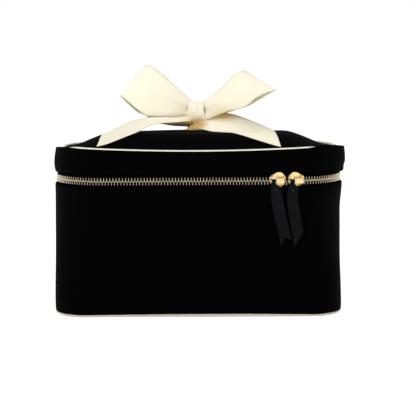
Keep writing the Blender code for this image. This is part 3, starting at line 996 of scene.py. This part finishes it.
def build_slider(side, mouth):
    """A slider's two plates and its post, and the bridge over them with its pin. Gives its place."""
    place = slider_place(side)
    shape = bmesh.new()
    outline = shield(mouth)
    add_plate(shape, outline, 0.45, 1.15, 0.75)
    add_plate(shape, outline[::-1], -4.75, -3.75, 0.0)
    post = sorted((mouth * 3.0, mouth * 6.0))
    add_box(shape, (post[0], -3.9, -0.4), (post[1], 0.6, 0.4))
    slider_piece(f"slider_{side}_plates", shape, side, f"slider_{side}", place)

    shape = bmesh.new()
    add_box(shape, (-1.4, 3.15, -2.8), (4.9, 4.35, 1.9))
    add_box(shape, (3.8, 1.0, -2.2), (4.9, 4.2, 1.5))
    add_box(shape, (-5.9, 1.0, PIN_W - 0.8), (-5.3, 4.3, PIN_W + 0.8))
    square = finish_mesh(f"slider_{side}_bridge", shape)
    rounded(square, 0.32)
    shape = bmesh.new()
    shape.from_object(square, bpy.context.evaluated_depsgraph_get())
    bpy.data.objects.remove(square)
    add_pin(shape, -5.6, 0.0, 0.7)
    slider_piece(f"slider_{side}_bridge", shape, side, f"slider_bridge_{side}", place)
    return place


def strip(rows, across=9, pieces=5, pleats=None):
    """A ribbon from rows of (one edge, other edge, bulge), with points in millimetres.

    bulge moves the middle of a row along Y. pleats gives the depth and the number of the lengthwise folds
    at a share of the ribbon's length.
    """
    first = catmull([Vector(row[0]) for row in rows], pieces)
    second = catmull([Vector(row[1]) for row in rows], pieces)
    bulges = [b.x for b in catmull([Vector((row[2], 0, 0)) for row in rows], pieces)]
    made = []
    for i, (a, b, bulge) in enumerate(zip(first, second, bulges)):
        depth, folds = pleats(i / (len(first) - 1)) if pleats else (0.0, 1.0)
        row = []
        for j in range(across):
            t = j / (across - 1)
            pleat = depth * math.sin(2 * math.pi * folds * t + 0.9) * math.sin(math.pi * t) ** 0.5
            row.append(mix(a, b, t) + Vector((0, bulge * 4 * t * (1 - t) + pleat, 0)))
        made.append(row)
    return made


def ribbon(name, rows, thickness=RIBBON_THICK, place=None):
    place = place or Matrix.Scale(MM, 4)
    return thicken(grid(name, [[place @ p for p in row] for row in rows]), thickness)


# Each pull's ribbon in its slider's frame: the left and right edges (u, w) of its front and its back leaf
# from the top down, how far it leans out and its leaves part, where its waves start, and its rivet's place.
PULL_SHAPES = {
    "left": {
        "front": [
            ((-5.0, -2.2), (-1.7, -3.0)), ((-6.0, -4.8), (1.2, -5.4)), ((-5.8, -9.0), (2.7, -8.6)),
            ((-5.6, -16.8), (4.2, -15.8)), ((-3.4, -28.3), (6.3, -27.3)), ((-1.2, -36.8), (8.6, -37.3)),
            ((0.6, -44.3), (11.0, -48.7)),
        ],
        "back": [
            ((-5.0, -2.2), (-1.7, -3.0)), ((-5.8, -4.8), (0.9, -5.4)), ((-5.3, -9.0), (2.3, -8.6)),
            ((-5.0, -16.8), (3.7, -15.8)), ((-3.0, -28.3), (5.6, -27.3)), ((-0.9, -36.8), (7.2, -37.8)),
            ((2.5, -53.8), (5.4, -48.4)),
        ],
        "lean": 0.3,
        "part": 0.9,
        "wave": 0.0,
        "rivet": (-2.1, -7.6),
    },
    "right": {
        "front": [
            ((-4.9, -2.2), (-1.7, -3.0)), ((-6.5, -5.0), (0.7, -5.4)), ((-7.6, -9.8), (0.9, -9.0)),
            ((-8.1, -15.8), (0.9, -14.8)), ((-7.1, -24.8), (2.2, -23.3)), ((-4.6, -38.8), (4.6, -35.8)),
            ((-2.0, -55.1), (5.3, -42.6)),
        ],
        "back": [
            ((-4.9, -2.2), (-1.7, -3.0)), ((-6.2, -5.0), (0.4, -5.4)), ((-7.2, -9.8), (0.6, -9.0)),
            ((-7.6, -15.8), (0.5, -14.8)), ((-6.6, -24.8), (1.8, -23.3)), ((-4.2, -37.8), (4.2, -34.8)),
            ((-2.2, -52.3), (4.7, -41.3)),
        ],
        "lean": 0.0,
        "part": 0.7,
        "wave": 1.4,
        "rivet": (-3.2, -8.2),
    },
}


def stand_off(down):
    """How far the front leaf stands off, so that it clears the bridge when the pull swings up."""
    return 0.75 * smooth(down, 1.0, 3.5) * smooth(down, 12.0, 5.0)


def pull_rows(side):
    """The ribbon's rows from its front leaf's tip, over the pin and down to its back leaf's tip."""
    ring = 1.25
    shapes = PULL_SHAPES[side]

    def leaf(rows, front):
        made = []
        for (left_u, left_w), (right_u, right_w) in rows:
            down = (-left_w - right_w) / 2
            hang = smooth(down, 4.0, 12.0)
            near_pin = ring + stand_off(down) if front else -ring
            apart = shapes["part"] if front else -0.35
            wave = 0.25 * math.sin(down / 9.0 + shapes["wave"])
            depth = PIN_V + near_pin * (1 - 0.55 * hang) + hang * (shapes["lean"] + wave + apart)
            bulge = 0.0 if front else 0.3
            made.append(((left_u, depth, left_w), (right_u, depth + 0.25 * hang, right_w), bulge))
        return made

    left_u, right_u = (edge[0] for edge in shapes["front"][0])
    loop = []
    for degrees in (20, 60, 90, 120, 160):
        a = math.radians(degrees)
        v, w = PIN_V + ring * math.cos(a), PIN_W + ring * math.sin(a)
        loop.append(((left_u, v, w), (right_u, v, w), 0.0))
    return leaf(shapes["front"], True)[::-1] + loop + leaf(shapes["back"], False)


def build_pull(side, place):
    made = ribbon(f"pull_{side}_ribbon", strip(pull_rows(side)), PULL_THICK, place)
    piece(made, f"pull_{side}", PULL, [f"pull_ribbon_{side}"])

    shape = bmesh.new()
    bmesh.ops.create_uvsphere(shape, u_segments=20, v_segments=12, radius=1.0)
    u, w = PULL_SHAPES[side]["rivet"]
    seat = Matrix.Translation((u, 5.15 + stand_off(-w), w))
    shape.transform(place @ seat @ Matrix.Diagonal((0.95, 0.6, 0.95, 1.0)))
    rivet = finish_mesh(f"pull_{side}_rivet", shape)
    piece(rivet, f"pull_{side}", RIVET, [f"pull_rivet_{side}"])


# The bow. Its points are in millimetres, from the knot outwards.

LOOP_LEFT = [
    ((-2, -6, 171.5), (-3, -9, 160), 0),
    ((-14.3, -7.5, 182.4), (-20, -15, 160.3), -3),
    ((-26.3, -6, 193.3), (-39.7, -17, 160.5), -5),
    ((-31.5, -4.5, 197.6), (-45.3, -18, 162.6), -5),
    ((-36.5, -3, 201.5), (-51.6, -18, 167.5), -4.5),
    ((-41, -1, 204.2), (-57.5, -16.5, 172.6), -3),
    ((-45.5, 4, 204.6), (-66, -13, 179.4), 0),
    ((-42.5, 9, 202), (-64.4, -9, 176.3), 2),
    ((-33, 9.5, 194.5), (-58, -6, 169.7), 3),
    ((-24, 9, 186.5), (-48.9, -3, 163), 4),
    ((-14, 6, 177.5), (-30, -1, 158.5), 3),
    ((-3, 1, 170), (-3, -1, 158), 0),
]
LOOP_RIGHT = [
    ((3, -6, 173), (2, -9, 157), 0),
    ((9, -7, 176.8), (8.5, -14, 159), -2),
    ((14, -6.5, 180), (15.6, -16, 162.2), -3),
    ((20.5, -5.5, 185.5), (27.3, -17, 166.3), -4),
    ((26, -4, 191.5), (33.5, -18, 167), -4.5),
    ((30.6, -3, 195.7), (41.2, -18, 170.4), -4.5),
    ((35, -1.5, 198), (48.1, -18, 176.2), -3.5),
    ((38, 0, 199.2), (56, -16.5, 180.4), -2),
    ((41, 3.5, 199.4), (66, -13, 183.4), 0),
    ((39.5, 8, 197.5), (62, -10.5, 180.9), 2),
    ((33.5, 10, 193.5), (51.1, -8, 174.4), 4),
    ((28, 10.5, 189.5), (43.9, -6.5, 170.2), 4),
    ((20.5, 9, 183), (33, -5.5, 166.5), 4),
    ((13, 6, 177), (15.9, -4, 161.4), 3),
    ((3, 1, 170), (2, -1, 157), 0),
]
TAIL_LEFT = [
    ((-4, -11, 160.2), (-5, -13, 157.6), 0),
    ((-11, -15.5, 161.6), (-11.3, -21, 157.6), 0),
    ((-18.6, -17, 160.9), (-19.6, -28, 157.3), -1),
    ((-30.1, -18.5, 161), (-31.9, -38, 157.2), -1),
    ((-40.2, -19.5, 160.8), (-41.2, -44, 155.1), 0),
    ((-50.9, -21, 159.4), (-49.4, -50, 151.3), 0),
    ((-61.7, -23, 155.8), (-59.6, -56, 147.6), 0),
    ((-72.3, -26, 150.8), (-74.7, -64, 142.2), 0),
    ((-80.6, -30, 146.9), (-82.4, -68, 140.6), 0),
]
TAIL_RIGHT = [
    ((1, -6, 158), (-9.5, -14.5, 152.3), 0),
    ((7, -5, 161.2), (-3, -20.5, 151.3), -0.5),
    ((14, -4, 162.8), (4.5, -26, 150.8), -1.5),
    ((22, -2.5, 163.3), (11, -33, 149.8), -2),
    ((30, -2, 162.2), (20, -40, 148.0), -2),
    ((38.2, -4, 159.6), (33, -49, 145.2), -1),
    ((46, -7.5, 156.8), (45, -56, 142.7), 0),
    ((54, -13, 153.6), (56, -62, 140.8), 0),
    ((61.5, -20, 150.7), (67.4, -69, 138.6), 0),
]
UNDER_FOLD = [
    ((-7, -17, 157.6), (-5, -7, 152.2), 0),
    ((-14, -23, 157.2), (-13, -10, 152.8), 1),
    ((-22, -29.5, 157), (-21, -15, 153.6), 1),
    ((-31.5, -35, 156.9), (-31, -28, 156.2), 0),
]
STAY_FOLD = [
    ((-5, -9, 155), (3.5, -9, 155), 0),
    ((-7, -14, 153.4), (4.5, -14, 153), 0),
    ((-10, -18, 151.2), (6, -18, 151), 0),
    ((-11.5, -22, 150.6), (7.5, -22, 150.4), 0),
]


def above_lid(rows, clearance=0.9):
    """Lifts what would sink into the lid, so that the ribbon lies on it."""
    for row in rows:
        for point in row:
            point.z = max(point.z, lid_surface(point.x * MM, point.y * MM) / MM + clearance)
    return rows


def near_knot(depth, folds, reach):
    """Pleats that are deepest at the knot and gone at this share of the ribbon's length."""
    return lambda share: (depth * smooth(min(share, 1 - share), reach, 0.0), folds)


def build_bow():
    for name, points, pleats, flat, node in (
        ("bow_loop_left", LOOP_LEFT, near_knot(1.3, 2.0, 0.24), (0.125, 0.038), "bow_loop_left"),
        ("bow_loop_right", LOOP_RIGHT, near_knot(1.2, 2.0, 0.24), (0.118, 0.038), "bow_loop_right"),
        ("bow_tail_left", TAIL_LEFT, None, (0.078, 0.036), "bow_tail_left"),
        ("bow_tail_right", TAIL_RIGHT, near_knot(0.9, 1.5, 0.22), (0.078, 0.036), "bow_tail_right"),
        ("bow_under_fold", UNDER_FOLD, None, None, None),
        ("bow_stay", STAY_FOLD, None, None, "bow_stay"),
    ):
        made = ribbon(f"{name}_ribbon", above_lid(strip(points, across=17, pieces=7, pleats=pleats)))
        # The under fold and the stay, which have no flat size here, wear the ribbon's copy with painted
        # shade.
        piece(made, "lid", RIBBON if flat else RIBBON_SHADED, [node] if node else [])
    piece(knot_wrap(), "lid", RIBBON, ["bow_knot"])


def knot_wrap():
    """The slanting, creased wrap round the middle of the bow, wider at its foot than at its top."""
    turns, across = 72, 27
    low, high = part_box("bow_knot")
    middle, half = (low + high) / 2, (high - low) / 2
    rows = []
    for i in range(turns):
        a = 2 * math.pi * i / turns
        height = math.sin(a)
        left = mix(-11.6, -8.2, smooth(height, -0.6, 1.0)) * MM
        right = mix(6.6, 4.8, smooth(height, -1.0, 0.5)) * MM
        row = []
        for j in range(across):
            t = j / (across - 1) * 2 - 1
            barrel = 1 - 0.10 * t**4 - 0.05 * t * t
            folds = 0.00030 * math.sin(2.3 * math.pi * (t + 0.22 * math.cos(a)) + 0.8)
            folds += 0.00010 * math.sin(5.1 * math.pi * t + 3 * a) * smooth(abs(t), 1.0, 0.6)
            folds -= 0.0009 * bump(t, 0.55 - 0.9 * (height - 0.25), 0.10) * smooth(height, 0.0, 0.4)
            y = middle.y - (half.y * barrel + folds) * math.cos(a)
            z = middle.z + ((half.z + 0.0006) * barrel + folds) * height
            row.append(Vector((mix(left, right, (t + 1) / 2), y, z)))
        rows.append(row)
    return thicken(grid("bow_knot_wrap", rows, ring=True), 0.0006, -1.0)


# The inside, and the cloth hinge.


def cup(name, rim, turn_z, floor_z, seed):
    """A lining: a rim, a wall from the rim's last point, and a floor or ceiling closed in the middle."""
    wall_out, wall_z = rim[-1]
    rows = []
    for s in around(0.0032):
        row = [on_wall(s, out, z) for out, z in rim]
        for z in steps(wall_z, turn_z, 0.009)[1:]:
            row.append(on_wall(s, wall_out + 0.0003 * ripple(on_wall(s, 0, z), 0.022, seed), z))
        edge = on_wall(s, wall_out - 0.0032, floor_z)
        row += [on_wall(s, wall_out - 0.0009, mix(turn_z, floor_z, 0.70)), edge]
        for share in (0.93, 0.85, 0.72, 0.55, 0.35, 0.12):
            point = inward(edge, share, 0)
            point.z = floor_z + 0.0003 * ripple(point, 0.03, seed + 1)
            row.append(point)
        rows.append(row)
    return thicken(grid(name, rows, ring=True, middles=(-1,)), 0.0004)


def hinge_strip(name, out, low, high, thickness):
    """A strip of cloth across the back, between the body and the lid."""

    def profile(s):
        heights = steps(low, high, 0.0009)
        face = [(out + 0.00018 * ripple(on_wall(s, 0, z), 0.008, 31), z) for z in heights]
        return [*face, *((face_out - thickness, z) for face_out, z in reversed(face))]

    return wall(name, steps(-0.0705, 0.0705, 0.0025), profile)


def build_hinge():
    outside = hinge_strip("hinge_cloth", -0.0002, WALL_HIGH - 0.0003, BAND_LOW + 0.0003, 0.0009)
    inside = hinge_strip("hinge_lining_cloth", -0.0052, WALL_HIGH - 0.0012, BAND_LOW + 0.0006, 0.0005)
    for made, node, material, slot in (
        (outside, "hinge_panel", BLACK, "black_fabric"),
        (inside, "hinge_lining", LINING, "lining_fabric"),
    ):
        made.data.materials.append(material)
        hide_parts(node)
        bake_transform(made)


# The linings' rims, as (out, z), from the turned edge at the zip's tape to the top or the foot of the wall.
BODY_RIM = ((-0.0021, 0.1066), (-0.0034, 0.1069), (-0.0046, 0.1066), (-0.0052, 0.1056), (-0.0053, 0.1040))
LID_RIM = ((-0.0021, 0.1187), (-0.0034, 0.1184), (-0.0046, 0.1188), (-0.0052, 0.1198), (-0.0053, 0.1206))


def build_linings():
    lining = cup("body_lining_cloth", BODY_RIM, 0.0105, 0.0055, 41)
    piece(lining, "body", LINING, ["body_lining"])
    lining = cup("lid_lining_cloth", LID_RIM, 0.1262, 0.1303, 43)
    piece(lining, "lid", LINING, ["lid_lining"])


def pocket_bulge(share):
    """How far the pocket stands off the wall, at a share from -1 to 1 of the way across it."""
    return 0.0026 * max(0.0, math.cos(share * math.pi / 2)) ** 0.6


def build_pocket():
    low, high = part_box("back_pocket")
    half, wall_y = high.x, high.y + 0.0001
    columns = steps(-half, half, 0.0016)
    rows = []
    for x in columns:
        gathers = 0.0006 * math.sin(x / RUFFLE + 2.5 * ripple((x, 0, 0), 0.01, 51))
        gathers *= math.cos(x / half * math.pi / 2)
        row = []
        for z in steps(low.z, high.z + 0.0010, 0.0035):
            up = (z - low.z) / (high.z - low.z)
            bulge = pocket_bulge(x / half) * smooth(up, 0.0, 0.25)
            row.append(Vector((x, wall_y - 0.0004 - bulge + gathers * smooth(up, 0.70, 1.0), z)))
        rows.append(row)
    pocket = thicken(grid("pocket_cloth", rows), 0.0004)
    piece(pocket, "body", POCKET, ["back_pocket"])

    low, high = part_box("pocket_elastic")
    lip, middle = 0.0004, (low.z + high.z) / 2
    rows = []
    for x in columns:
        near = wall_y - 0.0008 - pocket_bulge(x / half)
        far = near + 0.0009
        ruffle = 0.0003 * math.sin(x / RUFFLE)
        front = [(near, low.z - lip), (near + ruffle, middle), (near, high.z), (near + lip, high.z + lip)]
        profile = [*front, (far, high.z), (far + ruffle, middle), (far, low.z - lip)]
        rows.append([Vector((x, y, z)) for y, z in profile])
    elastic = grid("pocket_elastic_edge", rows, tube=True, caps=True)
    piece(elastic, "body", ELASTIC, ["pocket_elastic"])


def stitches(name, places, body, material):
    """A row of sewn stitches; places gives each one's two ends and the direction that it stands out in."""
    radius = 0.00022
    turns = [2 * math.pi * i / 6 for i in range(6)]
    shape = bmesh.new()
    for start, end, outward in places:
        side = (end - start).normalized().cross(outward)
        rings = []
        for t, share in ((0.0, 0.25), (0.12, 0.8), (0.5, 1.0), (0.88, 0.8), (1.0, 0.25)):
            centre = mix(start, end, t) + outward * (radius * 0.7 * math.sin(math.pi * t))
            spokes = [(side * math.cos(a) + outward * math.sin(a)) * radius * share for a in turns]
            rings.append([shape.verts.new(centre + spoke) for spoke in spokes])
        join_rings(shape, rings)
    piece(finish_mesh(name, shape), body, material)


def across_back(z, surface):
    """The places of a row of stitches across the back, at this height on a surface(s, z)."""
    for s in steps(-0.069, 0.069, STITCH_PITCH)[:-1]:
        end = s + STITCH
        yield on_wall(s, surface(s, z), z), on_wall(end, surface(end, z), z), Vector((0, 1, 0))


def up_pocket_sides():
    low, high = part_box("back_pocket")
    y = high.y - 0.0010
    for x in (low.x + 0.0022, high.x - 0.0022):
        for z in steps(low.z + 0.003, high.z - 0.002, STITCH_PITCH)[:-1]:
            yield Vector((x, y, z)), Vector((x, y, z + STITCH)), Vector((0, -1, 0))


def build_stitching():
    below = across_back(WALL_HIGH - 0.0022, body_out)
    stitches("stitches_below_hinge", below, "body", BLACK_THREAD)
    above = across_back(BAND_LOW + 0.0024, lambda s, z: band_out(s, 0.11, z))
    stitches("stitches_above_hinge", above, "lid", BLACK_THREAD)
    stitches("stitches_on_pocket", up_pocket_sides(), "body", CREAM_THREAD)


def paint_hidden():
    """The foam and the boards that stay as they are in the frame, inside the cloth."""
    hidden = {"wall_padding": FOAM, "lid_side_padding": FOAM, "base_board": BOARD}
    for node, material in hidden.items():
        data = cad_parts[node].data
        data.materials.clear()
        data.materials.append(material)


# The studio.


def build_sky():
    """A white sky at the horizon that is dimmer overhead, so that the key light can model the cloth."""
    world = bpy.data.worlds.new("studio_sky")
    bpy.context.scene.world = world
    world.use_nodes = True
    tree = world.node_tree
    place = tree.nodes.new("ShaderNodeTexCoord")
    split = tree.nodes.new("ShaderNodeSeparateXYZ")
    dim = tree.nodes.new("ShaderNodeMapRange")
    for socket, value in (("From Min", 0.08), ("From Max", 0.40), ("To Min", 1.0), ("To Max", 0.28)):
        dim.inputs[socket].default_value = value
    tree.links.new(place.outputs["Generated"], split.inputs[0])
    tree.links.new(split.outputs[2], dim.inputs["Value"])
    background = tree.nodes["Background"]
    background.inputs["Color"].default_value = (1.0, 1.0, 1.0, 1.0)
    tree.links.new(dim.outputs[0], background.inputs["Strength"])


def build_studio():
    shape = bmesh.new()
    bmesh.ops.create_grid(shape, x_segments=8, y_segments=8, size=14.0)
    floor = finish_mesh("studio_floor", shape)
    glow = {"Emission_Color": (1.0, 1.0, 1.0, 1.0), "Emission_Strength": 0.85}
    pale = Look("pale_floor", (0.50, 0.50, 0.50), 0.9, Specular_IOR_Level=0.0, **glow)
    floor.data.materials.append(pale.material)
    floor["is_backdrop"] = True

    build_sky()
    target = Vector((0, 0, 0.12))
    for name, place, size, power in (
        ("key_light", (-0.9, -1.3, 1.5), 0.6, 19.0),
        ("fill_light", (1.3, -1.0, 0.9), 1.0, 4.0),
        ("top_light", (0.1, 0.3, 1.7), 0.8, 7.0),
    ):
        light = bpy.data.lights.new(name, "AREA")
        light.size = size
        light.energy = power
        lamp = bpy.data.objects.new(name, light)
        lamp.location = place
        lamp.rotation_euler = (target - Vector(place)).to_track_quat("-Z", "Y").to_euler()
        COLLECTION.objects.link(lamp)


def build_camera():
    data = bpy.data.cameras.new("camera")
    data.sensor_width = 36.0
    data.lens = 107.6
    data.clip_start = 0.05
    camera = bpy.data.objects.new("camera", data)
    camera.location = (0.0085, -1.075, 0.2255)
    camera.rotation_euler = (math.pi / 2 - 0.134, 0.005, 0.0)
    COLLECTION.objects.link(camera)
    bpy.context.scene.camera = camera
    bpy.context.scene.view_settings.view_transform = "Standard"


build_camera()
build_studio()
build_body()
build_lid()
build_tapes()
build_teeth()
build_stops()
for slider_side, slider_mouth in (("left", 1), ("right", -1)):
    build_pull(slider_side, build_slider(slider_side, slider_mouth))
build_bow()
build_hinge()
build_linings()
build_pocket()
build_stitching()
paint_hidden()

boxes = {"cad": cad_box, "visual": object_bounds()}
{name: [list(corner) for corner in box] for name, box in boxes.items()}
